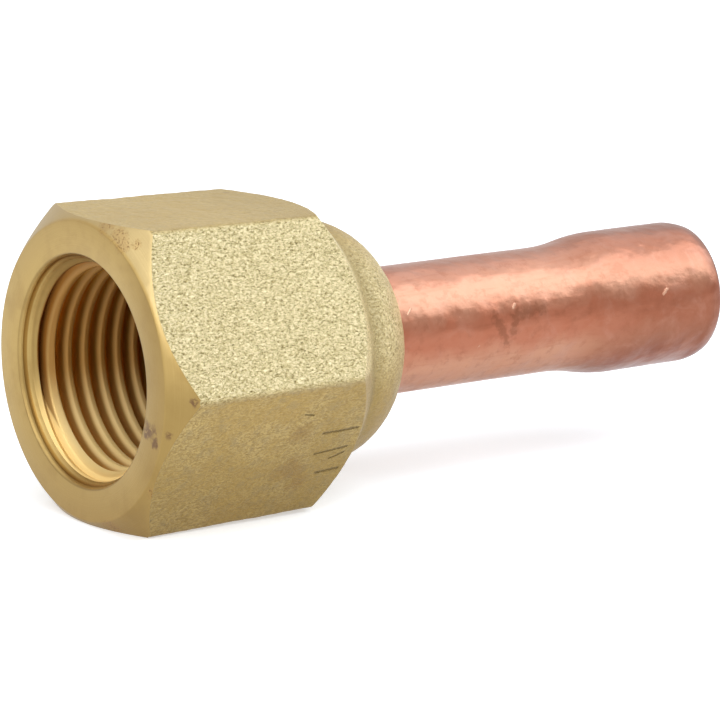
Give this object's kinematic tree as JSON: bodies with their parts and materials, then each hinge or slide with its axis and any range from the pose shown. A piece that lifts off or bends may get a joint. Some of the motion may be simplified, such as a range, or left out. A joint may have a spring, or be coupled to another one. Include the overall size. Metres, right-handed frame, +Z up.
{
  "type": "solder adapter",
  "caption": "Brass hexagon flare nut with a threaded mouth, turning freely on a short copper tube whose expanded far end is a socket for soldering.",
  "frame": {"origin": "centre of the nut's mouth face, on the axis that the nut and the tube share", "axes": "+X along the axis from the nut's mouth to the solder end of the tube, +Z up with the nut lying on one of its flats, +Y to the side"},
  "size_m": [0.0549, 0.0252, 0.022],
  "materials": {
    "forged_brass": "shot-blasted forged flats, turned mouth and chamfers",
    "drawn_copper": "drawn copper, satin, handled"
  },
  "bodies": {
    "flare_nut": {"flare_nut": "forged_brass"},
    "solder_tube": {"solder_tube": "drawn_copper"}
  },
  "joints": [
    {"name": "nut_swivel", "type": "hinge", "parent": "flare_nut", "child": "solder_tube", "pos_m": [0.0205, 0, 0], "axis": [1, 0, 0], "continuous": true}
  ]
}
